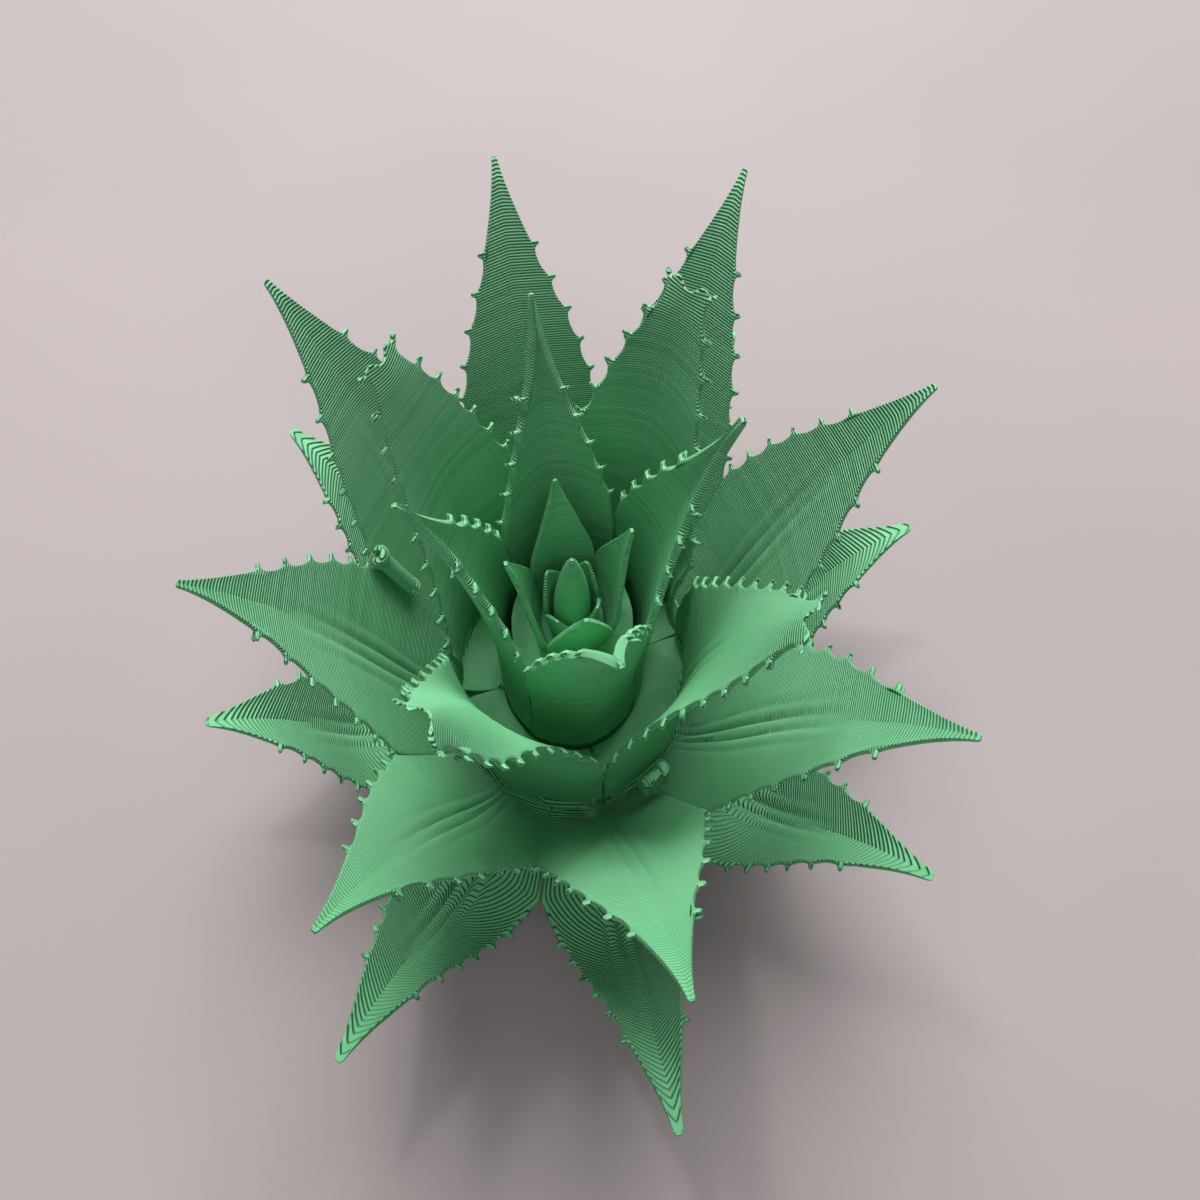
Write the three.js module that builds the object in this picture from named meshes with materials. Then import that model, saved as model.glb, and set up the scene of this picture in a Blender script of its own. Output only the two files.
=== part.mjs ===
import * as THREE from 'three';

// Agave rosette on a short core. Millimetres, +Z up, underside at z = 0.

// Growth of the whole plant: longer front to back, and leaning back with height
const OVAL = 1.2;
const LEAN = 0.1;

// Gap between touching pieces
const GAP = 0.3;

// Core profile, radius and height, and number of sides
const CORE_PROFILE = [[0, 0], [11.1, 0], [11.1, 17.4], [9.6, 18.6], [9.6, 31], [0, 31]];
const CORE_SIDES = 32;

// Bud profile, radius and height
const BUD_PROFILE = [
  [0, 31.3], [2.4, 31.3], [2.85, 34], [2.75, 38], [2.2, 42.4], [1.4, 46.2], [0.7, 48.5], [0, 49.4],
];
const BUD_SIDES = 20;

// Every whorl: how many leaves, where the first one points, and how one leaf is shaped.
// base: where the leaf starts on the core, radius and height.
// path: four control points of the midrib, radius and height.
// widths: half widths at six even places from the start of the path to the tip.
// lifts: how far the margins stand over the midrib, at five even places.
// fold: 1 for a sharp crease, 0 for a round cup. teeth: first and last place, count, length.
// turn, reach, rise: how each leaf differs, in degrees, share of radius at the tip and height.
// spread, curl: how each leaf differs in width, and in the lift of its outer margins.
const WHORLS = [
  {
    name: 'ground', count: 8, first: 15.6, thick: 0.7, fold: 0.8, columns: 2,
    base: [11.6, 5.4], path: [[23.1, 5.5], [45.7, 4.8], [40.1, 18.6], [61.4, 24.3]],
    widths: [13.1, 11.5, 9.3, 6.9, 4.2, 0.65], lifts: [4.6, 3.6, 2.2, 1.8, 0],
    teeth: [0.3, 0.78, 6, 0.95], turn: [3.8, 2, -1, -2.6, -2.4, 0.2, 0.8, 0.4],
    reach: [0.99, 1, 1, 0.99, 0.955, 1.01, 1.03, 1.03],
    rise: [-1.7, -1, -1, -1.3, -0.2, 0.3, 0.4, 1.8],
    spread: [1, 1, 1, 1, 1, 1, 1, 1], curl: [0, 0, 0, 0, 0, 0, 0, 0],
  },
  {
    name: 'rising', count: 8, first: 16.3, thick: 0.7, fold: 0.9, columns: 2,
    base: [11.6, 10.4], path: [[23.3, 13.8], [33.4, 29.6], [37.6, 47], [55.4, 60.2]],
    widths: [15.5, 13.3, 11.5, 8.6, 4, 0.35], lifts: [1.5, 1.5, 1.5, 0.7, 0],
    teeth: [0.3, 0.8, 7, 1.1], turn: [5.4, 3.3, -0.4, -4.6, -5.9, -2.9, 1.4, 3.2],
    reach: [1.015, 1.04, 0.985, 1.015, 0.955, 0.975, 0.98, 1.045],
    rise: [-1.8, 0.6, 0.8, 0.9, -0.9, -2, 0.5, 1.7],
    spread: [1, 1, 1, 1, 1, 1, 1, 1], curl: [0, 0, 0, 0, 0, 0, 0, 0],
  },
  {
    name: 'blunt', count: 4, first: 60.4, thick: 0.75, fold: 0.2, columns: 4,
    base: [11.6, 13.1], path: [[19.8, 14.7], [18.2, 28.5], [23, 52], [33.3, 68.2]],
    widths: [14.6, 15.8, 12.3, 9.3, 6.2, 2.4], lifts: [5.8, 6.4, 3.5, 0.3, -0.7],
    teeth: [0.2, 0.95, 11, 1.4], turn: [0.4, -1.2, 2.6, 3.3],
    reach: [0.96, 0.96, 1, 1.02], rise: [-0.7, -1.3, 4.8, 0.2],
    spread: [1.14, 1.02, 1.12, 1], curl: [3, 0, -2, -0.5],
  },
  {
    name: 'inner', count: 4, first: 15.8, thick: 0.75, fold: 0.2, columns: 4,
    base: [11.75, 15], path: [[12.05, 16], [11.7, 41.2], [16.7, 57.1], [23, 72.8]],
    widths: [8.8, 9.5, 8.8, 6, 2.3, 0.35], lifts: [3.6, 4.1, 3.7, 2, 0],
    teeth: [0.42, 0.74, 5, 0.9], turn: [-1.7, 1.1, -1.3, 1.8],
    reach: [0.99, 0.995, 0.99, 1.025], rise: [1.3, 0, -0.4, -0.8],
    spread: [1.06, 0.97, 0.94, 1.04], curl: [0, -0.3, 0, 0.4],
  },
  {
    name: 'heart', count: 4, first: 16.9, thick: 0.7, fold: 0.4, columns: 4,
    base: [5.6, 31.3], path: [[5.7, 32.4], [7.7, 36.8], [7.5, 43.3], [9.5, 52.5]],
    widths: [5, 5.2, 5.2, 3.8, 2.1, 0.35], lifts: [1.5, 1.4, 1.2, 0.7, 0],
    teeth: [0, 0, 0, 0], turn: [2.7, 1.4, -2.4, -1.7],
    reach: [0.97, 1, 1.02, 1.01], rise: [-0.7, 0.5, 0.2, 0],
    spread: [1, 1, 1, 1], curl: [0, 0, 0, 0],
  },
  {
    name: 'sheath', count: 4, first: 62, thick: 0.6, fold: 0.1, columns: 4,
    base: [3.6, 31.3], path: [[3.7, 32.4], [4.3, 35], [4.3, 38], [4.6, 40.6]],
    widths: [3.4, 3.4, 3.2, 2.6, 1.6, 0.4], lifts: [1.1, 1.1, 0.9, 0.5, 0],
    teeth: [0, 0, 0, 0], turn: [0, 0, 0, 0],
    reach: [1, 1, 1, 1], rise: [0, 0.5, -0.6, 0],
    spread: [1, 1, 1, 1], curl: [0, 0, 0, 0],
  },
];

// Hollow stubs: start and end of the axis as azimuth, radius and height
const STUBS = [
  { name: 'stub_left', from: [165.3, 26.7, 22.8], to: [167, 32.3, 34] },
  { name: 'stub_right', from: [303, 22, 19], to: [316.5, 22.2, 18] },
];
const STUB_SIDES = 14;
const STUB_TUBE = 1.15;
const STUB_RIM = 1.55;
const STUB_HOLE = 0.5;
const STUB_RIM_LENGTH = 1.7;
const STUB_HOLE_DEPTH = 3;

const GREEN = 0x4f9e6c;
const ROUGHNESS = 0.62;

const radians = (degrees) => degrees * Math.PI / 180;
const mix = (a, b, t) => a + (b - a) * t;

// Point of the finished plant from a point of the upright round one
function grow(x, y, z) {
  return [x, OVAL * y + LEAN * z, z];
}

// Point and direction of the midrib, t from 0 at the first control point to 1 at the tip
function midrib(path, t) {
  const s = 1 - t;
  const weights = [s * s * s, 3 * s * s * t, 3 * s * t * t, t * t * t];
  const slopes = [-s * s, s * s - 2 * s * t, 2 * s * t - t * t, t * t];
  const point = [0, 0];
  const along = [0, 0];
  for (let i = 0; i < 4; i += 1) {
    for (let j = 0; j < 2; j += 1) {
      point[j] += weights[i] * path[i][j];
      along[j] += slopes[i] * path[i][j];
    }
  }
  const length = Math.hypot(along[0], along[1]);
  return { point, along: [along[0] / length, along[1] / length], length: 3 * length };
}

// Places along the leaf where the margin has a vertex, with the tooth there if any
function stations(whorl) {
  const [firstTooth, lastTooth, count, toothLength] = whorl.teeth;
  const list = [{ lead: 0, t: 0, tooth: 0 }, { lead: 0.5, t: 0, tooth: 0 }];
  const plain = count > 0 ? [0, firstTooth * 0.35, firstTooth * 0.7] : [0, 0.2, 0.4, 0.6, 0.8];
  plain.forEach((t) => list.push({ lead: 1, t, tooth: 0 }));
  for (let i = 0; i < count; i += 1) {
    const t = mix(firstTooth, lastTooth, i / (count - 1));
    const half = 0.8 / midrib(whorl.path, t).length;
    list.push({ lead: 1, t: t - half, tooth: 0 });
    list.push({ lead: 1, t: t + half * 0.4, tooth: toothLength });
    list.push({ lead: 1, t: t + half, tooth: 0 });
  }
  const last = list[list.length - 1].t;
  [0.4, 0.75, 1].forEach((part) => list.push({ lead: 1, t: mix(last, 1, part), tooth: 0 }));
  return list;
}

// Midrib point and frame at a station, the straight run from the core included
function frameAt(whorl, station, k) {
  const rib = midrib(whorl.path, station.t);
  let [r, z] = rib.point;
  let [ar, az] = rib.along;
  if (station.lead < 1) {
    const start = whorl.path[0];
    const run = [start[0] - whorl.base[0], start[1] - whorl.base[1]];
    const size = Math.hypot(run[0], run[1]);
    r = whorl.base[0] + run[0] * station.lead;
    z = whorl.base[1] + run[1] * station.lead;
    ar = mix(run[0] / size, ar, station.lead);
    az = mix(run[1] / size, az, station.lead);
    const unit = Math.hypot(ar, az);
    ar /= unit;
    az /= unit;
  }
  r *= mix(1, whorl.reach[k], station.t);
  z += whorl.rise[k] * station.t;
  return { r, z, ar, az };
}

// Value at t from 0 to 1 of a list spaced evenly, as a smooth curve
function smoothAt(list, t) {
  const place = Math.min(t, 0.9999) * (list.length - 1);
  const i = Math.floor(place);
  const f = place - i;
  const at = (j) => list[Math.max(0, Math.min(list.length - 1, j))];
  const rise = at(i + 1) - at(i);
  const slope0 = (at(i + 1) - at(i - 1)) / 2;
  const slope1 = (at(i + 2) - at(i)) / 2;
  const bend = slope0 + slope1 - 2 * rise;
  return at(i) + slope0 * f + (rise - slope0 - bend) * f * f + bend * f * f * f;
}

// Azimuth of leaf k of a whorl
function azimuthOf(whorl, k) {
  const turns = Math.floor(k / whorl.count);
  return whorl.first + 360 / whorl.count * k + whorl.turn[k - turns * whorl.count];
}

function addMesh(group, name, positions, triangles) {
  let volume = 0;
  const at = (i) => new THREE.Vector3(...positions[i]);
  triangles.forEach(([a, b, c]) => {
    volume += at(a).dot(at(b).cross(at(c)));
  });
  const faces = volume < 0 ? triangles.map(([a, b, c]) => [a, c, b]) : triangles;
  const geometry = new THREE.BufferGeometry();
  geometry.setAttribute('position', new THREE.Float32BufferAttribute(positions.flat(), 3));
  geometry.setIndex(faces.flat());
  geometry.computeVertexNormals();
  const material = new THREE.MeshStandardMaterial({ color: GREEN, roughness: ROUGHNESS, metalness: 0 });
  const mesh = new THREE.Mesh(geometry, material);
  mesh.name = name;
  group.add(mesh);
}

// One toothed blade: an inner and an outer face of the same grid, closed all round
function addLeaf(group, whorl, k) {
  const azimuth = azimuthOf(whorl, k);
  const wedge = {
    1: radians((azimuthOf(whorl, k + 1) - azimuth) / 2),
    '-1': radians((azimuth - azimuthOf(whorl, k - 1)) / 2),
  };
  const cos = Math.cos(radians(azimuth));
  const sin = Math.sin(radians(azimuth));
  const list = stations(whorl);
  const columns = whorl.columns;
  const positions = [];
  const index = (side, row, column) => (side * list.length + row) * (columns + 1) + column;

  [0, 1].forEach((side) => list.forEach((station) => {
    const { r, z, ar, az } = frameAt(whorl, station, k);
    const normal = [-az, ar];
    const width = smoothAt(whorl.widths, station.t) * whorl.spread[k];
    const curl = whorl.curl[k] * Math.min(1, station.t * 1.5, (1 - station.t) * 4);
    const lift = smoothAt(whorl.lifts, station.t) + curl;
    for (let column = 0; column <= columns; column += 1) {
      const u = 2 * column / columns - 1;
      const hand = u < 0 ? -1 : 1;
      const tooth = Math.abs(u) === 1 ? station.tooth : 0;
      const raised = lift * mix(u * u, Math.abs(u), whorl.fold) - side * whorl.thick;
      let radius = r + raised * normal[0] + ar * tooth * 0.4;
      let height = z + raised * normal[1] + az * tooth * 0.4;
      let across = Math.abs(u) * Math.min(width, radius * Math.tan(wedge[hand])) + tooth;
      if (station.lead < 1) {
        const round = r - side * whorl.thick * normal[0];
        const angle = Math.abs(u) * (wedge[hand] - GAP / 2 / round);
        radius = mix(round * Math.cos(angle), radius, station.lead);
        across = mix(round * Math.sin(angle), across, station.lead);
        height -= lift * mix(u * u, Math.abs(u), whorl.fold) * normal[1] * (1 - station.lead);
      }
      const room = radius * Math.tan(wedge[hand]) - GAP / 2 / Math.cos(wedge[hand]);
      across = hand * Math.min(across, Math.abs(u) * room);
      positions.push(grow(radius * cos - across * sin, radius * sin + across * cos, height));
    }
  }));

  const triangles = [];
  const quad = (a, b, c, d) => triangles.push([a, b, c], [a, c, d]);
  for (let row = 0; row < list.length - 1; row += 1) {
    for (let column = 0; column < columns; column += 1) {
      const near = column < columns / 2;
      const corner = (side) => [
        index(side, row, column), index(side, row, column + 1),
        index(side, row + 1, column + 1), index(side, row + 1, column),
      ];
      const [a, b, c, d] = corner(0);
      const [e, f, g, h] = corner(1);
      if (near) {
        triangles.push([a, b, d], [b, c, d], [e, h, f], [f, h, g]);
      } else {
        triangles.push([a, b, c], [a, c, d], [e, g, f], [e, h, g]);
      }
    }
    quad(index(0, row, 0), index(0, row + 1, 0), index(1, row + 1, 0), index(1, row, 0));
    quad(index(0, row, columns), index(1, row, columns),
      index(1, row + 1, columns), index(0, row + 1, columns));
  }
  const tip = list.length - 1;
  for (let column = 0; column < columns; column += 1) {
    quad(index(0, 0, column), index(1, 0, column), index(1, 0, column + 1), index(0, 0, column + 1));
    quad(index(0, tip, column), index(0, tip, column + 1),
      index(1, tip, column + 1), index(1, tip, column));
  }
  addMesh(group, `${whorl.name}_leaf_${k + 1}`, positions, triangles);
}

// Solid of revolution from a profile that starts and ends on the axis
function turned(profile, sides, place) {
  const positions = [place(0, 0, profile[0][1])];
  const rings = profile.slice(1, -1);
  rings.forEach(([radius, height]) => {
    for (let i = 0; i < sides; i += 1) {
      const angle = 2 * Math.PI * i / sides;
      positions.push(place(radius * Math.cos(angle), radius * Math.sin(angle), height));
    }
  });
  positions.push(place(0, 0, profile[profile.length - 1][1]));
  const triangles = [];
  const at = (ring, i) => 1 + ring * sides + (i % sides);
  for (let i = 0; i < sides; i += 1) {
    triangles.push([0, at(0, i + 1), at(0, i)]);
    for (let ring = 0; ring < rings.length - 1; ring += 1) {
      triangles.push([at(ring, i), at(ring, i + 1), at(ring + 1, i + 1)]);
      triangles.push([at(ring, i), at(ring + 1, i + 1), at(ring + 1, i)]);
    }
    triangles.push([positions.length - 1, at(rings.length - 1, i), at(rings.length - 1, i + 1)]);
  }
  return { positions, triangles };
}

function addTurned(group, name, profile, sides) {
  const { positions, triangles } = turned(profile, sides, grow);
  addMesh(group, name, positions, triangles);
}

// Tube with a thicker rounded rim and a blind hole, turned about a slanting axis
function addStub(group, stub) {
  const [start, end] = [stub.from, stub.to].map(([azimuth, radius, z]) => new THREE.Vector3(
    radius * Math.cos(radians(azimuth)), radius * Math.sin(radians(azimuth)), z));
  const length = start.distanceTo(end);
  const along = end.clone().sub(start).normalize();
  const level = new THREE.Vector3(0, 0, 1).cross(along).normalize();
  const over = along.clone().cross(level);
  const rim = length - STUB_RIM_LENGTH;
  const profile = [
    [0, 0], [STUB_TUBE, 0], [STUB_TUBE, rim - 0.3], [STUB_RIM, rim + 0.2],
    [STUB_RIM, length - 0.5], [STUB_RIM - 0.5, length], [STUB_HOLE, length],
    [STUB_HOLE, length - STUB_HOLE_DEPTH], [0, length - STUB_HOLE_DEPTH],
  ];
  const place = (x, y, height) => {
    const point = start.clone();
    point.addScaledVector(level, x).addScaledVector(over, y).addScaledVector(along, height);
    return grow(point.x, point.y, point.z);
  };
  const { positions, triangles } = turned(profile, STUB_SIDES, place);
  addMesh(group, stub.name, positions, triangles);
}

const group = new THREE.Group();
group.name = 'agave_rosette';
addTurned(group, 'core', CORE_PROFILE, CORE_SIDES);
addTurned(group, 'bud', BUD_PROFILE, BUD_SIDES);
WHORLS.forEach((whorl) => {
  for (let k = 0; k < whorl.count; k += 1) {
    addLeaf(group, whorl, k);
  }
});
STUBS.forEach((stub) => addStub(group, stub));

export default group;
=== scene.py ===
import math

import bpy
import numpy as np
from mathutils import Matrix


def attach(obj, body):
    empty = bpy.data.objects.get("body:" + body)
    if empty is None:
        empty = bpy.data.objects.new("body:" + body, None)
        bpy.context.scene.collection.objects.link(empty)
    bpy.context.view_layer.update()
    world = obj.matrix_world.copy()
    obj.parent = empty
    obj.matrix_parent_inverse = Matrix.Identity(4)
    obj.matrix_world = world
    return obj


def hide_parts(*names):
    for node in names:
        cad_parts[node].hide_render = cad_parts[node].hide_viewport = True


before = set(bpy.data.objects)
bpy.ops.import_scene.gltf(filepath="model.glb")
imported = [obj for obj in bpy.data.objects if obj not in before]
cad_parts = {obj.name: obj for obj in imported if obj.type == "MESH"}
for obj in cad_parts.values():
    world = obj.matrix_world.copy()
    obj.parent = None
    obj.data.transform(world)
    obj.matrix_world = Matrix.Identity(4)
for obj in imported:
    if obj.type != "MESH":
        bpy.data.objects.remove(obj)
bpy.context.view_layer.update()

# Agave rosette printed in green plastic. The shapes are laid out in millimetres
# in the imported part's own frame, and turned to metres when a mesh is finished.

MM = 0.001

# Growth of the whole plant: longer front to back, and leaning back with height
OVAL = 1.2
LEAN = 0.1

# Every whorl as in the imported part. base: where a leaf starts on the core, radius
# and height. root: control points of the curve from there to the midrib. path:
# control points of the midrib. widths and lifts: half width and stand of the margins
# over the midrib at even places. fold: 1 for a crease, 0 for a cup. teeth: first and
# last place, count and length. corner: how far before the end of a blunt leaf its
# last tooth stands. ridge: height of the ribs beside the crease. end: radius of the
# tip. rim: thickening of the margin on each face. turn, reach, rise, spread and curl
# say how each leaf differs in azimuth, length, height, width and stand of its margins.
# outer and droop widen and lower one side of a single leaf, at even places.
WHORLS = {
    "ground": dict(
        count=8, first=15.6, thick=0.7, fold=0.8, base=(11.6, 5.4),
        root=((15, 5.2), (19, 5.4)),
        path=((23.1, 5.5), (45.7, 4.8), (40.1, 18.6), (61.4, 24.3)),
        widths=(13.1, 11.5, 9.3, 6.9, 4.2, 0.65), lifts=(4.6, 3.6, 2.2, 1.8, 0),
        teeth=(0.3, 0.78, 6, 0.85), ridge=0.26, end=0.8, rim=0.08,
        turn=(3.8, 2, -1, -2.6, -2.4, 0.2, 0.8, 0.4),
        reach=(0.99, 0.965, 1, 0.99, 0.955, 1.01, 1.03, 1.03),
        rise=(-1.7, -1, -1, -1.3, -0.2, 0.3, 0.4, 1.8),
    ),
    "rising": dict(
        count=8, first=16.3, thick=0.7, fold=0.9, base=(11.6, 10.4),
        root=((17.5, 9), (20.4, 9.3)),
        path=((23.3, 13.8), (33.4, 29.6), (37.6, 47), (55.4, 60.2)),
        widths=(15.5, 13.3, 11.5, 8.6, 4, 0.35), lifts=(1.5, 1.5, 1.5, 0.7, 0),
        teeth=(0.3, 0.8, 7, 0.95), ridge=0.26, end=0.5, rim=0.08,
        turn=(5.4, 3.3, -0.4, -4.6, -5.9, -2.9, 1.4, 3.2),
        reach=(1.015, 1.04, 0.985, 1.015, 0.955, 0.975, 0.98, 1.045),
        rise=(-1.8, 0.6, 0.8, 0.9, -0.9, -2, 0.5, 1.7),
    ),
    "blunt": dict(
        count=4, first=60.4, thick=0.8, fold=0.2, base=(11.6, 13.1),
        root=((15.5, 12.3), (20, 11.3)),
        path=((19.8, 14.7), (18.2, 28.5), (23, 52), (33.3, 68.2)),
        widths=(14.6, 15.8, 12.3, 9.3, 6.2, 2.4), lifts=(5.8, 6.4, 3.5, 0.3, -0.7),
        teeth=(0.2, 0.9, 11, 1.15), corner=1, ridge=0.14, end=0.06, rim=0.12,
        turn=(0.4, -1.2, 0.9, 3.3), reach=(0.96, 0.96, 0.97, 1.02),
        rise=(-0.7, -1.3, 4.8, 0.2), spread=(1.14, 1.02, 1, 1), curl=(3, 0, -2, -0.5),
        outer={2: (1, 1, 0.95, 0.9, 1, 1.05)}, droop={2: (0, 0, 0, 0, 1.2, 1.8)},
    ),
    "inner": dict(
        count=4, first=15.8, thick=1.05, fold=0.2, base=(11.75, 15),
        root=((11.8, 15.2), (12, 15.6)),
        path=((12.05, 16), (11.7, 41.2), (16.7, 57.1), (23, 72.8)),
        widths=(8.8, 9.5, 8.8, 6, 2.3, 0.35), lifts=(3.6, 4.1, 3.7, 2, 0),
        teeth=(0.42, 0.74, 5, 0.8), ridge=0, end=0.5, rim=0.15,
        turn=(-1.7, 1.1, -1.3, 1.8), reach=(0.99, 0.995, 0.99, 1.025),
        rise=(0.9, 0, -0.4, -0.8), spread=(1.06, 0.97, 0.94, 1.04),
        curl=(0, -0.3, 0, 0.4),
    ),
    "heart": dict(
        count=4, first=16.9, thick=0.7, fold=0.4, base=(5.6, 31.3),
        root=((5.6, 31.6), (5.65, 32)),
        path=((5.7, 32.4), (7.7, 36.8), (7.5, 43.3), (9.5, 52.5)),
        widths=(5, 5.2, 5.2, 3.8, 2.1, 0.35), lifts=(1.5, 1.4, 1.2, 0.7, 0),
        teeth=(0, 0, 0, 0), ridge=0, end=0.5, rim=0.1,
        turn=(2.7, 1.4, -2.4, -1.7), reach=(0.97, 1, 1.02, 1.01),
        rise=(-0.7, 0.5, 0.2, 0),
    ),
    "sheath": dict(
        count=4, first=62, thick=0.6, fold=0.1, base=(3.6, 31.3),
        root=((3.6, 31.6), (3.65, 32)),
        path=((3.7, 32.4), (4.3, 35), (4.3, 38), (4.6, 40.6)),
        widths=(3.4, 3.4, 3.2, 2.6, 1.6, 0.4), lifts=(1.1, 1.1, 0.9, 0.5, 0),
        teeth=(0, 0, 0, 0), ridge=0, end=0.6, rim=0.08,
        rise=(0, 0.5, -0.6, 0),
    ),
}

# Flat blade: shares of the half width where it has a column of vertices, the
# longest distance between two rows, and the rows that round its tip, in tip radii
COLUMNS = (0, 0.07, 0.14, 0.21, 0.3, 0.42, 0.58, 0.78, 0.93, 1)
ROW_GAP = 2.2
TIP_ROWS = (0, 0.8, 1.5, 2)

# Ribs beside the crease: distance between two, how far out they reach, and the
# places along the leaf where they end and over which they fade
RIB_PITCH = 2.1
RIB_REACH = 5
RIB_END = 0.72
RIB_FADE = 0.35

# Teeth: half width at the root, scallop between two teeth, lean to the tip of the
# leaf, the same for the last tooth of a blunt leaf, and share and narrowing by steps
TOOTH_HALF = 0.6
SCALLOP = 0.45
TOOTH_LEAN = 0.35
CORNER_LEAN = 0.9
TOOTH_STEPS = ((0.3, 0.75), (0.3, 0.8), (0.25, 0.85), (0.15, 0.7))

# How far the end of a blunt leaf is drawn in between its corners, and over what length
HOLLOW = 0.9
HOLLOW_LENGTH = 3

# How far a blade runs on over the plane where it joins its neighbour, and the length
# below the second tooth over which that starts
OVERRUN = 0.3
OVERRUN_LENGTH = 2

# Thickness: width of the bead on the margin, length over which it starts, least share
# of the thickness at the tip, and length over which a blade thins to it
RIM_WIDTH = 0.5
RIM_START = 4
TIP_SHARE = 0.5
TIP_TAPER = 8

# Distance over which the tilt of a blade's face is measured
TILT_SPAN = 0.06

# How near two places on the flat blade count as the same
SAME = 0.01

# Bud profile, radius and height
BUD_PROFILE = (
    (2.4, 31.3), (2.75, 33), (2.9, 35), (2.82, 37.5), (2.6, 40), (2.25, 42.4),
    (1.85, 44.4), (1.4, 46.3), (0.95, 47.8), (0.5, 48.8), (0.16, 49.3),
)
BUD_SIDES = 40

# Hollow stubs: start and end of the axis as azimuth, radius and height
STUBS = {
    "stub_left": ((165.5, 27.4, 24.2), (167, 32.3, 34)),
    "stub_right": ((303, 22, 19), (316.5, 22.2, 18)),
}
STUB_TUBE = 1.2
STUB_RIM = 1.65
STUB_HOLE = 0.55
STUB_RIM_LENGTH = 1.7
STUB_HOLE_DEPTH = 3
STUB_SIDES = 28

# Two raised rings at a stub's foot: how far they stand out, and height on the axis
STUB_FOOT = ((0.15, 0.1), (0.15, 0.35), (0, 0.45), (0, 0.7), (0.12, 0.8), (0.12, 1.05), (0, 1.15))

# Largest angle between two faces that are shaded as one
SMOOTH_ANGLE = 40

# Print: height of a layer, run of the step between two layers, waver of the layers,
# and how much prouder than another a layer may stand
LAYER = 0.31
STEP = 0.2
WOBBLE = 0.02
JITTER = 0.07

# Bowl between the whorls, where layers on near level faces don't show
BOWL_RADIUS = (21, 27)

# Plastic: two cloudy tones, painted shade in the grooves, and the tint of pale and of dark
# layers, painted as light and shade
GREEN_TONES = ((0.165, 0.59, 0.27, 1), (0.19, 0.62, 0.295, 1))
# Painted shade: near black green laid into the grooves between layers
GROOVE_SHADE_GREEN = (0.012, 0.1, 0.035, 1)
# Pale and dark layers: tone that differs at random by layer, painted as highlight and shade,
# strongest on faces turned from the window
PALE_LAYER_AND_HIGHLIGHT = (0.3, 0.7, 0.42, 1)
DARK_LAYER_AND_SHADE = (0.5, 0.7, 0.55, 1)

# Table top: two cloudy tones, and its size in metres
TABLE_TONES = ((0.372, 0.325, 0.327, 1), (0.4, 0.348, 0.35, 1))
TABLE_SIZE = 3

# Lights: azimuth and height in degrees, size in metres, power and colour
LIGHTS = {
    "window": (92, 39, 2.1, 68, (1, 0.99, 0.98)),
    "window_middle": (92, 32, 0.7, 8, (1, 0.99, 0.98)),
    "ceiling_light": (120, 60, 0.2, 5, (1, 0.98, 0.97)),
    "bright_wall": (270, 50, 2.4, 9, (1, 0.99, 0.98)),
}
LIGHT_AWAY = 2
ROOM_COLOUR = (0.95, 0.95, 1, 1)
ROOM_STRENGTH = 0.19

# Camera: place, turn and lens that give the photo's frame
CAMERA_PLACE = (4.26, -67.59, 200.4)
CAMERA_TURN = (23.706, -0.831, 1.891)
CAMERA_LENS = 34.89


# Plant laws

def listed(whorl, name, k, plain):
    """Value of leaf k in one of the whorl's lists."""
    return whorl[name][k % whorl["count"]] if name in whorl else plain


def azimuth_of(whorl, k):
    return whorl["first"] + 360 / whorl["count"] * k + listed(whorl, "turn", k, 0)


def half_gaps(whorl, k):
    """Half of the angle to the leaf before leaf k, and to the leaf after it."""
    last = whorl["count"] - 1
    here = azimuth_of(whorl, k)
    before = azimuth_of(whorl, k - 1) if k > 0 else azimuth_of(whorl, last) - 360
    after = azimuth_of(whorl, k + 1) if k < last else azimuth_of(whorl, 0) + 360
    return math.radians((here - before) / 2), math.radians((after - here) / 2)


def grown(x, y, z):
    """Points of an upright round plant, carried to its oval and leaning form."""
    return np.stack([x, OVAL * y + LEAN * z, z], -1)


def smooth_at(values, t):
    """Value at t from 0 to 1 of a list spaced evenly, as a smooth curve."""
    values = np.array(values, float)
    last = len(values) - 1
    place = np.clip(t, 0, 0.9999) * last
    i = np.floor(place).astype(int)
    f = place - i
    before, here = values[np.maximum(i - 1, 0)], values[i]
    after, beyond = values[np.minimum(i + 1, last)], values[np.minimum(i + 2, last)]
    rise = after - here
    slope0 = (after - before) / 2
    slope1 = (beyond - here) / 2
    bend = slope0 + slope1 - 2 * rise
    return here + slope0 * f + (rise - slope0 - bend) * f * f + bend * f ** 3


def midrib(path, t):
    """Point and unit direction of the midrib as arrays of radius and height."""
    s = 1 - t
    weights = (s ** 3, 3 * s * s * t, 3 * s * t * t, t ** 3)
    slopes = (-s * s, s * s - 2 * s * t, 2 * s * t - t * t, t * t)
    point = [sum(w * p[j] for w, p in zip(weights, path)) for j in (0, 1)]
    along = [sum(w * p[j] for w, p in zip(slopes, path)) for j in (0, 1)]
    length = np.hypot(along[0], along[1])
    return point, [along[0] / length, along[1] / length]


def run_table(whorl):
    """Places t along the midrib and the length of midrib run up to each."""
    t = np.linspace(0, 1, 241)
    (r, z), _ = midrib(whorl["path"], t)
    return t, np.concatenate([[0], np.cumsum(np.hypot(np.diff(r), np.diff(z)))])


def root_curve(whorl):
    """Control points from the core to the start of the midrib, and that length."""
    points = (whorl["base"], *whorl["root"], whorl["path"][0])
    (r0, z0), (r1, z1) = points[0], points[-1]
    return points, math.hypot(r1 - r0, z1 - z0)


def half_width(whorl, s):
    """Half width of the flat blade at length s, closing to a round end."""
    t, run = run_table(whorl)
    width = smooth_at(whorl["widths"], np.interp(s, run, t))
    end = whorl["end"]
    beyond = np.clip((s - run[-1] + end) / end, 0, 0.9)
    return np.maximum(width, end) * np.sqrt(1 - beyond ** 2)


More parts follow.
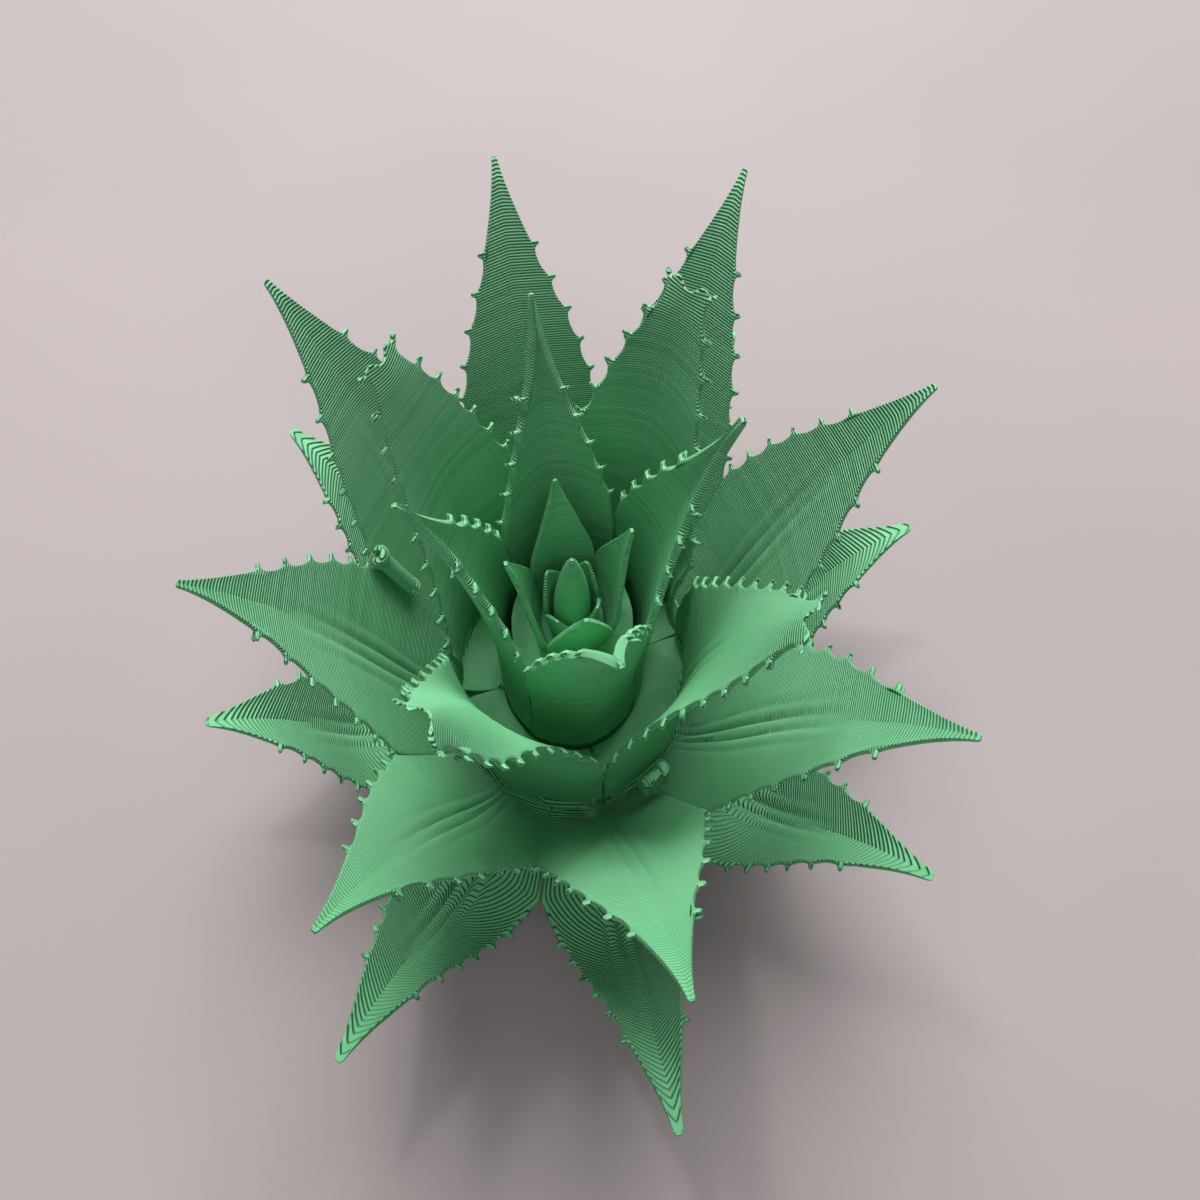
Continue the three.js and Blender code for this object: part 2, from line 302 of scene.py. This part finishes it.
def middle_line(whorl, k, s):
    """Middle of leaf k at length s: place t, radius and height, direction, and share
    of the curve from the core to the midrib that is run."""
    t_table, run = run_table(whorl)
    t = np.interp(s, run, t_table)
    (r, z), (ar, az) = midrib(whorl["path"], t)
    root, root_length = root_curve(whorl)
    lead = np.clip(1 + s / root_length, 0, 1)
    (root_r, root_z), (root_ar, root_az) = midrib(root, lead)
    on_lead = lead < 1
    r, z = np.where(on_lead, root_r, r), np.where(on_lead, root_z, z)
    ar, az = np.where(on_lead, root_ar, ar), np.where(on_lead, root_az, az)
    beyond = np.maximum(s - run[-1], 0)
    r = r * (1 + (listed(whorl, "reach", k, 1) - 1) * t) + ar * beyond
    z = z + listed(whorl, "rise", k, 0) * t + az * beyond
    return t, (r, z), (ar, az), lead


def margin_lift(whorl, k, x, t):
    """Stand of the margin over the midrib, on the side of x."""
    curl = listed(whorl, "curl", k, 0) * np.minimum(1, 1.5 * t) * np.clip(4 * (1 - t), 0, 1)
    lift = smooth_at(whorl["lifts"], t) + curl
    if k in whorl.get("droop", {}):
        lift = lift - np.where(x > 0, smooth_at(whorl["droop"][k], t), 0)
    return lift


def margin_width(whorl, k, x, t, flat):
    """Half width of leaf k on the side of x, from that of the flat blade."""
    width = flat * listed(whorl, "spread", k, 1)
    if k in whorl.get("outer", {}):
        width = width * np.where(x > 0, smooth_at(whorl["outer"][k], t), 1)
    return width


def leaf_surface(whorl, k, x, s):
    """Inner face of leaf k: x across and s along the flat blade, in millimetres."""
    t, (r, z), (ar, az), lead = middle_line(whorl, k, s)
    on_lead = lead < 1
    flat = half_width(whorl, s)
    hand = np.where(x < 0, -1.0, 1.0)
    u = np.minimum(np.abs(x) / flat, 1)
    tooth = np.maximum(np.abs(x) - flat, 0)
    before, after = half_gaps(whorl, k)
    wedge = np.where(x < 0, before, after)

    lift = margin_lift(whorl, k, x, t)
    bowl = u * u * (1 - whorl["fold"]) + u * whorl["fold"]
    ribs = whorl["ridge"] * np.cos(2 * math.pi * x / RIB_PITCH)
    ribs = ribs * np.clip(1 - np.abs(x) / RIB_REACH, 0, 1)
    ribs = ribs * np.clip((RIB_END - t) / RIB_FADE, 0, 1)
    raised = lift * bowl + ribs * lead
    radius = r - raised * az
    height = z + raised * ar
    width = margin_width(whorl, k, x, t, flat)
    across = u * np.minimum(width, radius * np.tan(wedge)) + tooth
    angle = u * wedge
    radius = np.where(on_lead, r * np.cos(angle) * (1 - lead) + radius * lead, radius)
    across = np.where(on_lead, r * np.sin(angle) * (1 - lead) + across * lead, across)
    height = height - np.where(on_lead, lift * bowl * ar * (1 - lead), 0)
    across = hand * np.minimum(across, u * radius * np.tan(wedge))

    turn = math.radians(azimuth_of(whorl, k))
    return grown(radius * math.cos(turn) - across * math.sin(turn),
                 radius * math.sin(turn) + across * math.cos(turn), height)


def curled(whorl, k, flat):
    """Points of the flat blade, with their depth below its face, on leaf k."""
    x, s, depth = flat[:, 0], flat[:, 1], flat[:, 2]
    width = half_width(whorl, s)
    to_tip = run_table(whorl)[1][-1] - s
    depth = depth * np.clip(TIP_SHARE + to_tip / TIP_TAPER, TIP_SHARE, 1)
    inward = np.maximum(width - np.abs(x), 0)
    bead = whorl["rim"] * np.exp(-(inward / RIM_WIDTH) ** 2) * np.clip(s / RIM_START, 0, 1)
    depth = np.where(depth < -0.1, depth - bead, depth + bead)
    face = leaf_surface(whorl, k, x, s)
    edge = width - TILT_SPAN
    inner = np.clip(x, -edge, edge)
    side = np.where(x > 0, -TILT_SPAN, TILT_SPAN)
    to_side = leaf_surface(whorl, k, inner + side, s) - leaf_surface(whorl, k, inner, s)
    to_side = to_side * np.sign(side)[:, None]
    to_base = face - leaf_surface(whorl, k, x, s - TILT_SPAN)
    normal = np.cross(to_side, to_base)
    normal /= np.linalg.norm(normal, axis=1)[:, None] + 1e-12
    return face + normal * depth[:, None]


# Modelling steps

def start_piece(name):
    """Names the primitive just added and opens it for editing."""
    piece = bpy.context.object
    piece.name = name
    piece.data.name = name
    bpy.ops.object.mode_set(mode="EDIT")
    bpy.ops.mesh.select_all(action="DESELECT")
    return piece


def end_editing():
    bpy.ops.object.mode_set(mode="OBJECT")


def select_alone(piece):
    bpy.ops.object.select_all(action="DESELECT")
    bpy.context.view_layer.objects.active = piece
    piece.select_set(True)


def apply_modifier(piece, kind, **values):
    select_alone(piece)
    modifier = piece.modifiers.new(kind.lower(), kind)
    for name, value in values.items():
        setattr(modifier, name, value)
    bpy.ops.object.modifier_apply(modifier=modifier.name)


def face_outwards(piece):
    """Turns all faces of a piece the same way, outwards where it is closed."""
    select_alone(piece)
    bpy.ops.object.mode_set(mode="EDIT")
    bpy.ops.mesh.select_all(action="SELECT")
    bpy.ops.mesh.normals_make_consistent(inside=False)
    end_editing()


def face_upwards(piece):
    """Turns all faces of a flat open sheet the same way, up."""
    face_outwards(piece)
    if piece.data.polygons[0].normal.z < 0:
        bpy.ops.object.mode_set(mode="EDIT")
        bpy.ops.mesh.flip_normals()
        end_editing()


def points_of(piece):
    flat = np.zeros(len(piece.data.vertices) * 3)
    piece.data.vertices.foreach_get("co", flat)
    return flat.reshape(-1, 3)


def set_points(piece, points):
    piece.data.vertices.foreach_set("co", np.ascontiguousarray(points).ravel())
    piece.data.update()


def finish_piece(piece, material, node):
    """Gives the piece its material and smoothing and puts it in its CAD node's place."""
    select_alone(piece)
    bpy.ops.object.shade_smooth_by_angle(angle=math.radians(SMOOTH_ANGLE))
    piece.data.materials.clear()
    piece.data.materials.append(material)
    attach(piece, "root")
    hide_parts(node)


# Leaves

def tooth_places(whorl):
    """Lengths along the flat blade where its teeth stand."""
    first, last, count, _ = whorl["teeth"]
    if count == 0:
        return []
    t, run = run_table(whorl)
    places = [first + (last - first) * i / (count - 1) for i in range(count)]
    places = [float(np.interp(place, t, run)) for place in places]
    return places + [float(run[-1]) - whorl["corner"]] if "corner" in whorl else places


def blade_rows(whorl):
    """Lengths along the flat blade where it has a row of vertices."""
    _, run = run_table(whorl)
    _, root_length = root_curve(whorl)
    end = float(run[-1]) - 2 * whorl["end"]
    marks = [-root_length, 0.0]
    for place in tooth_places(whorl):
        marks += [place - TOOTH_HALF, place + TOOTH_HALF]
    rows = []
    for a, b in zip(marks, marks[1:] + [end]):
        toothed = a > 0 and b - a < 2 * TOOTH_HALF + SAME
        parts = 1 if toothed else max(2, math.ceil((b - a) / ROW_GAP))
        rows += [a + (b - a) * i / parts for i in range(parts)]
    return rows + [end + radii * whorl["end"] for radii in TIP_ROWS]


def flat_blade(name, whorl):
    """One flat toothed blade of the whorl, its face at depth 0, in millimetres."""
    rows = blade_rows(whorl)
    half = len(COLUMNS) - 1
    bpy.ops.object.select_all(action="DESELECT")
    bpy.ops.mesh.primitive_grid_add(
        x_subdivisions=2 * half, y_subdivisions=len(rows) - 1, size=2)
    piece = start_piece(name + "_blade")
    end_editing()
    points = points_of(piece)
    column = np.rint((points[:, 0] + 1) * half).astype(int) - half
    row = np.rint((points[:, 1] + 1) / 2 * (len(rows) - 1)).astype(int)
    length = np.array(rows)[row]
    share = np.array(COLUMNS)[np.abs(column)] * np.sign(column)
    width = half_width(whorl, np.maximum(length, 0))
    teeth = tooth_places(whorl)
    inset = np.zeros(len(points))
    for a, b in zip(teeth, teeth[1:]):
        between = np.clip((length - a - TOOTH_HALF) / (b - a - 2 * TOOTH_HALF), 0, 1)
        inset += SCALLOP * np.sin(math.pi * between)
    if teeth:
        inset -= OVERRUN * np.clip((teeth[1] - length) / OVERRUN_LENGTH, 0, 1)
    margin = np.abs(column) == half
    points[:, 0] = share * width - np.sign(share) * np.where(margin, inset, 0)
    if "corner" in whorl:
        near_end = np.clip(1 + (length - rows[-1]) / HOLLOW_LENGTH, 0, 1)
        length = length - HOLLOW * (1 - share ** 2) * near_end
    points[:, 1] = length
    points[:, 2] = 0
    set_points(piece, points)
    for place in teeth:
        lean = CORNER_LEAN if "corner" in whorl and place == teeth[-1] else TOOTH_LEAN
        for hand in (-1, 1):
            extrude_tooth(piece, whorl, place, hand, lean)
    face_upwards(piece)
    apply_modifier(piece, "SOLIDIFY", thickness=whorl["thick"], offset=-1)
    apply_modifier(piece, "SUBSURF", levels=1, render_levels=1)
    return piece


def select_tooth_edge(piece, place, hand, margin):
    """Selects the margin's edge that spans the tooth at a place, on one side."""
    bpy.ops.object.mode_set(mode="EDIT")
    bpy.ops.mesh.select_mode(type="EDGE")
    bpy.ops.mesh.select_all(action="DESELECT")
    end_editing()
    for edge in piece.data.edges:
        one, two = (piece.data.vertices[i].co for i in edge.vertices)
        along = abs(abs(one.y - two.y) - 2 * TOOTH_HALF) < SAME
        there = abs((one.y + two.y) / 2 - place) < SAME
        edge.select = along and there and min(one.x * hand, two.x * hand) > margin


def extrude_tooth(piece, whorl, place, hand, lean):
    """Draws the margin's edge at a tooth out into a narrowing peg that leans tipward."""
    length = whorl["teeth"][3]
    margin = float(half_width(whorl, np.array([place]))[0]) - SCALLOP - 0.05
    select_tooth_edge(piece, place, hand, margin)
    bpy.ops.object.mode_set(mode="EDIT")
    middle = place
    for part, narrow in TOOTH_STEPS:
        middle += lean * length * part
        step = (hand * length * part, lean * length * part, 0)
        bpy.ops.mesh.extrude_region_move(TRANSFORM_OT_translate={"value": step})
        bpy.ops.transform.resize(value=(1, narrow, 1), center_override=(0, middle, 0))
    end_editing()


def make_whorl(name, whorl, material):
    """Copies the whorl's flat blade for each leaf and curls it into its place."""
    blade = flat_blade(name, whorl)
    flat = points_of(blade)
    for k in range(whorl["count"]):
        leaf = blade.copy()
        leaf.data = blade.data.copy()
        leaf.name = leaf.data.name = f"{name}_print_{k + 1}"
        bpy.context.collection.objects.link(leaf)
        set_points(leaf, curled(whorl, k, flat) * MM)
        finish_piece(leaf, material, f"{name}_leaf_{k + 1}")
    bpy.data.objects.remove(blade)


# Bud and stubs

def turned_piece(name, rings, sides):
    """Disc at the first (radius, height) ring, drawn up through the others."""
    radius, height = rings[0]
    bpy.ops.object.select_all(action="DESELECT")
    bpy.ops.mesh.primitive_circle_add(
        vertices=sides, radius=radius, fill_type="NGON", location=(0, 0, height))
    bpy.ops.object.transform_apply(location=True, rotation=True, scale=True)
    piece = start_piece(name)
    bpy.ops.mesh.select_all(action="SELECT")
    for next_radius, next_height in rings[1:]:
        bpy.ops.mesh.extrude_region_move(
            TRANSFORM_OT_translate={"value": (0, 0, next_height - height)})
        factor = next_radius / radius
        bpy.ops.transform.resize(
            value=(factor, factor, 1), center_override=(0, 0, next_height))
        radius, height = next_radius, next_height
    end_editing()
    face_outwards(piece)
    return piece


def make_bud(material):
    bud = turned_piece("bud_print", BUD_PROFILE, BUD_SIDES)
    x, y, z = points_of(bud).T
    set_points(bud, grown(x, y, z) * MM)
    finish_piece(bud, material, "bud")


def stub_rings(length):
    """Profile of a hollow stub: ringed foot, tube, thicker rim and a blind hole."""
    rim = length - STUB_RIM_LENGTH
    foot = [(STUB_TUBE + proud, height) for proud, height in STUB_FOOT]
    return [(STUB_TUBE, 0)] + foot + [
        (STUB_TUBE, rim - 0.3), (STUB_RIM - 0.1, rim), (STUB_RIM, rim + 0.25),
        (STUB_RIM, length - 0.6), (STUB_RIM - 0.2, length - 0.2),
        (STUB_RIM - 0.55, length), (STUB_HOLE + 0.15, length),
        (STUB_HOLE, length - 0.2), (STUB_HOLE, length - STUB_HOLE_DEPTH),
    ]


def place_of(azimuth, radius, height):
    turn = math.radians(azimuth)
    return np.array([radius * math.cos(turn), radius * math.sin(turn), height])


def make_stub(name, start, end, material):
    """Tube between two places given as azimuth, radius and height."""
    start, end = place_of(*start), place_of(*end)
    length = float(np.linalg.norm(end - start))
    along = (end - start) / length
    level = np.cross((0, 0, 1), along)
    level /= np.linalg.norm(level)
    over = np.cross(along, level)
    stub = turned_piece(name + "_print", stub_rings(length), STUB_SIDES)
    x, y, z = (start + points_of(stub) @ np.array([level, over, along])).T
    set_points(stub, grown(x, y, z) * MM)
    face_outwards(stub)
    finish_piece(stub, material, name)


# Materials

class Nodes:
    """Short way to add and link nodes in one tree."""

    def __init__(self, tree):
        self.tree = tree

    def add(self, kind, **settings):
        node = self.tree.nodes.new(kind)
        for name, value in settings.items():
            setattr(node, name, value)
        return node

    def link(self, source, target):
        self.tree.links.new(source, target)

    def give(self, value, socket):
        """Sets the socket to a number or a colour, or links an output to it."""
        if isinstance(value, (int, float, tuple)):
            socket.default_value = value
        else:
            self.link(value, socket)

    def math(self, operation, *values):
        node = self.add("ShaderNodeMath", operation=operation)
        for socket, value in zip(node.inputs, values):
            self.give(value, socket)
        return node.outputs[0]

    def ramp(self, value, low, high, to_low, to_high):
        """Carries value smoothly from the range low to high to that of the other two."""
        node = self.add("ShaderNodeMapRange", interpolation_type="SMOOTHSTEP")
        for socket, number in zip(node.inputs[:5], (value, low, high, to_low, to_high)):
            self.give(number, socket)
        return node.outputs[0]

    def split(self, vector):
        """X, Y and Z of a vector."""
        node = self.add("ShaderNodeSeparateXYZ")
        self.link(vector, node.inputs[0])
        return node.outputs

    def place(self):
        """Place on the piece in metres."""
        return self.add("ShaderNodeTexCoord").outputs["Object"]

    def clouds(self, scale, detail):
        """Soft noise from 0 to 1."""
        node = self.add("ShaderNodeTexNoise")
        node.inputs["Scale"].default_value = scale
        node.inputs["Detail"].default_value = detail
        self.link(self.place(), node.inputs["Vector"])
        return node.outputs[0]

    def mix(self, factor, one, two, blend="MIX"):
        """Colour one, blended into two by the factor."""
        node = self.add("ShaderNodeMix", data_type="RGBA", blend_type=blend)
        self.link(factor, node.inputs["Factor"])
        self.give(one, node.inputs["A"])
        self.give(two, node.inputs["B"])
        return node.outputs["Result"]


def layer_step(n, part, level, steep, given):
    """Height of a layer's face at a part of its rise, and where its riser starts."""
    slope = n.math("DIVIDE", steep, level)
    step = n.math("DIVIDE", n.math("MULTIPLY", given["Step"], slope), given["Layer"])
    step = n.math("MINIMUM", n.math("MAXIMUM", step, 0.05), 0.5)
    flat = n.math("SUBTRACT", 1, step)
    tread = n.math("DIVIDE", part, flat)
    riser = n.math("DIVIDE", n.math("SUBTRACT", 1, part), step)
    saw = n.math("MINIMUM", tread, riser)
    drop = n.math("MULTIPLY", n.math("MULTIPLY", saw, given["Layer"]), level)
    return n.math("MULTIPLY", drop, -1), flat


def groove_shade_mask(n, part, flat, steep, to_window, given):
    """Painted shade: 1 in the groove between two layers, less on walls and on faces to the
    window.
    """
    off = n.math("ABSOLUTE", n.math("SUBTRACT", part, flat))
    across = n.math("MULTIPLY", n.math("DIVIDE", given["Step"], given["Layer"]), steep)
    across = n.math("MINIMUM", across, 0.36)
    groove_shade = n.ramp(n.math("DIVIDE", off, across), 0.3, 1.1, 1, 0)
    groove_shade = n.math("MULTIPLY", groove_shade, n.ramp(steep, 0.75, 1, 1, 0.6))
    return n.math("MULTIPLY", groove_shade, n.ramp(to_window, -0.2, 0.6, 1, 0.5))


def shown_mask(n, x, y, steep):
    """0 on level faces, where no layers show, and on flatter ones in the bowl."""
    round_y = n.math("DIVIDE", y, OVAL)
    square = n.math("ADD", n.math("MULTIPLY", x, x), n.math("MULTIPLY", round_y, round_y))
    near, far = (radius * MM for radius in BOWL_RADIUS)
    inside = n.ramp(n.math("SQRT", square), near, far, 0.25, 0)
    return n.ramp(n.math("SUBTRACT", steep, inside), 0.1, 0.22, 0, 1)


def print_layers_group():
    """Steps between print layers: Height in metres for a bump, a mask of the painted shade in the
    grooves, and a value from 0 to 1 for each layer, for pale and dark layers painted as light and
    shade away from the window."""
    group = bpy.data.node_groups.new("print_layers", "ShaderNodeTree")
    for name, value in (("Layer", LAYER), ("Step", STEP), ("Wobble", WOBBLE), ("Jitter", JITTER)):
        socket = group.interface.new_socket(name, in_out="INPUT", socket_type="NodeSocketFloat")
        socket.default_value = value * MM
    for name in ("Height", "Groove_shade", "Layer_tone_and_shade"):
        group.interface.new_socket(name, in_out="OUTPUT", socket_type="NodeSocketFloat")
    n = Nodes(group)
    given = n.add("NodeGroupInput").outputs
    x, y, z = n.split(n.place())
    _, to_window, upward = n.split(n.add("ShaderNodeNewGeometry").outputs["Normal"])
    wobble = n.math("SUBTRACT", n.clouds(420, 1), 0.5)
    z = n.math("ADD", z, n.math("MULTIPLY", wobble, given["Wobble"]))
    level = n.math("MAXIMUM", n.math("ABSOLUTE", upward), 0.06)
    level = n.math("MINIMUM", level, 0.995)
    steep = n.math("SQRT", n.math("SUBTRACT", 1, n.math("MULTIPLY", level, level)))
    rise = n.math("DIVIDE", z, given["Layer"])
    part = n.math("FRACT", rise)
    height, flat = layer_step(n, part, level, steep, given)
    groove_shade = groove_shade_mask(n, part, flat, steep, to_window, given)
    shown = shown_mask(n, x, y, steep)
    layer = n.add("ShaderNodeTexWhiteNoise", noise_dimensions="1D")
    n.link(n.math("FLOOR", rise), layer.inputs["W"])
    proud = n.math("MULTIPLY", n.math("MULTIPLY", layer.outputs[0], given["Jitter"]), steep)
    # Painted light and shade: the pale and dark layers fade out on faces toward the window
    layer_tone_and_shade = n.math("MULTIPLY", n.math("SUBTRACT", layer.outputs[0], 0.5),
                    n.ramp(to_window, -0.1, 0.5, 1, 0.2))
    out = n.add("NodeGroupOutput").inputs
    n.link(n.math("MULTIPLY", n.math("ADD", height, proud), shown), out["Height"])
    n.link(n.math("MULTIPLY", groove_shade, shown), out["Groove_shade"])
    n.link(n.math("ADD", layer_tone_and_shade, 0.5), out["Layer_tone_and_shade"])
    return group


def blank_material(name, roughness):
    material = bpy.data.materials.new(name)
    material.use_nodes = True
    shader = material.node_tree.nodes["Principled BSDF"]
    shader.inputs["Roughness"].default_value = roughness
    return material, Nodes(material.node_tree), shader


def green_print(layers):
    """Matte green plastic with its print layers, painted shade in the grooves, and pale and dark
    layers painted as light and shade on faces turned from the window.
    """
    material, n, shader = blank_material("green_print", 0.6)
    group = n.add("ShaderNodeGroup", node_tree=layers).outputs
    tone = n.mix(n.ramp(n.clouds(55, 2), 0.35, 0.65, 0, 1), *GREEN_TONES)
    # Pale and dark layers at random, painted as light and shade on faces turned from the window
    tone = n.mix(n.ramp(group["Layer_tone_and_shade"], 0.6, 1, 0, 0.4), tone, DARK_LAYER_AND_SHADE, "MULTIPLY")
    tone = n.mix(n.ramp(group["Layer_tone_and_shade"], 0.05, 0.3, 0.4, 0), tone, PALE_LAYER_AND_HIGHLIGHT)
    # Painted shade: the grooves between layers turn near black green
    tone = n.mix(n.math("MULTIPLY", group["Groove_shade"], 0.92), tone, GROOVE_SHADE_GREEN)
    n.link(tone, shader.inputs["Base Color"])
    bump = n.add("ShaderNodeBump")
    bump.inputs["Strength"].default_value = 1
    bump.inputs["Distance"].default_value = 1
    n.link(group["Height"], bump.inputs["Height"])
    n.link(bump.outputs[0], shader.inputs["Normal"])
    return material


def table_top():
    """Pinkish grey painted board with faint clouds."""
    material, n, shader = blank_material("table_top", 0.7)
    tone = n.mix(n.ramp(n.clouds(9, 2), 0.3, 0.7, 0, 1), *TABLE_TONES)
    n.link(tone, shader.inputs["Base Color"])
    return material


# Surroundings

def make_floor():
    bpy.ops.object.select_all(action="DESELECT")
    bpy.ops.mesh.primitive_plane_add(size=TABLE_SIZE)
    floor = bpy.context.object
    floor.name = "table_top"
    floor.data.materials.append(table_top())


def add_light(name, azimuth, height, size, power, colour):
    """Soft disc light towards the plant."""
    light = bpy.data.lights.new(name, "AREA")
    light.shape = "DISK"
    light.size = size
    light.energy = power
    light.color = colour
    lamp = bpy.data.objects.new(name, light)
    bpy.context.scene.collection.objects.link(lamp)
    turn, up = math.radians(azimuth), math.radians(height)
    level = LIGHT_AWAY * math.cos(up)
    lamp.location = (level * math.cos(turn), level * math.sin(turn), LIGHT_AWAY * math.sin(up))
    lamp.rotation_euler = (-lamp.location).to_track_quat("-Z", "Y").to_euler()


def light_scene():
    world = bpy.data.worlds.new("room")
    bpy.context.scene.world = world
    world.use_nodes = True
    background = world.node_tree.nodes["Background"]
    background.inputs["Color"].default_value = ROOM_COLOUR
    background.inputs["Strength"].default_value = ROOM_STRENGTH
    for name, values in LIGHTS.items():
        add_light(name, *values)
    bpy.context.scene.view_settings.view_transform = "Standard"


def set_camera():
    camera = bpy.data.objects.new("camera", bpy.data.cameras.new("camera"))
    bpy.context.scene.collection.objects.link(camera)
    camera.location = [value * MM for value in CAMERA_PLACE]
    camera.rotation_euler = [math.radians(value) for value in CAMERA_TURN]
    camera.data.sensor_fit = "HORIZONTAL"
    camera.data.sensor_width = 36
    camera.data.lens = CAMERA_LENS
    camera.data.clip_start = 0.01
    bpy.context.scene.camera = camera


green = green_print(print_layers_group())
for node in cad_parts.values():
    for slot in node.material_slots:
        slot.material = green
for whorl_name, whorl_facts in WHORLS.items():
    make_whorl(whorl_name, whorl_facts, green)
make_bud(green)
for stub_name, (stub_start, stub_end) in STUBS.items():
    make_stub(stub_name, stub_start, stub_end, green)
make_floor()
light_scene()
set_camera()
